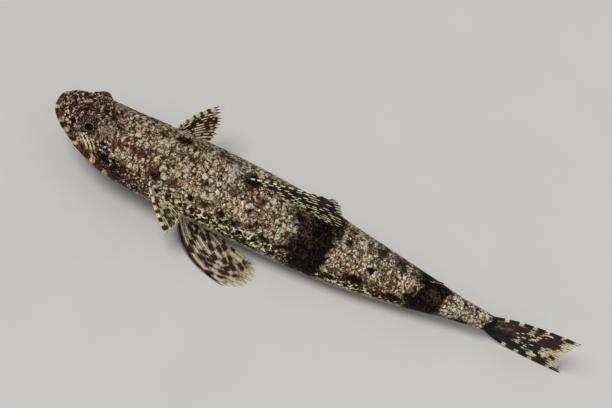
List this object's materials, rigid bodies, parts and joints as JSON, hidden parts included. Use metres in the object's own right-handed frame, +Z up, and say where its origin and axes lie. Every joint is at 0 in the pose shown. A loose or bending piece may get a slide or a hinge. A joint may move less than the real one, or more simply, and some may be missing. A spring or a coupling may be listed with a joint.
{
  "type": "variegated lizardfish",
  "caption": "Mottled bottom-living sea fish with a wide head and mouth, a long tapering body and spread fins, lying at rest on its belly and pelvic fins.",
  "frame": {"origin": "middle of the fish's box at the level of the floor that it rests on", "axes": "+X from the snout towards the tail fin, -Y towards the fish's left side, +Z up"},
  "size_m": [0.24, 0.0679, 0.0435],
  "materials": {
    "flesh": "satin, scaled",
    "fin": "satin, thin and slightly see-through",
    "eye": "wet gloss"
  },
  "bodies": {
    "root": {"head": "flesh", "jaw_lower": "flesh", "gill_cover_L": "flesh", "gill_cover_R": "flesh", "torso": "flesh", "tail": "flesh", "eye_L": "eye", "eye_R": "eye", "dorsal_fin": "fin", "adipose_fin": "fin", "anal_fin": "fin", "caudal_fin": "fin", "pectoral_fin_L": "fin", "pectoral_fin_R": "fin", "pelvic_fin_L": "fin", "pelvic_fin_R": "fin"}
  },
  "joints": []
}
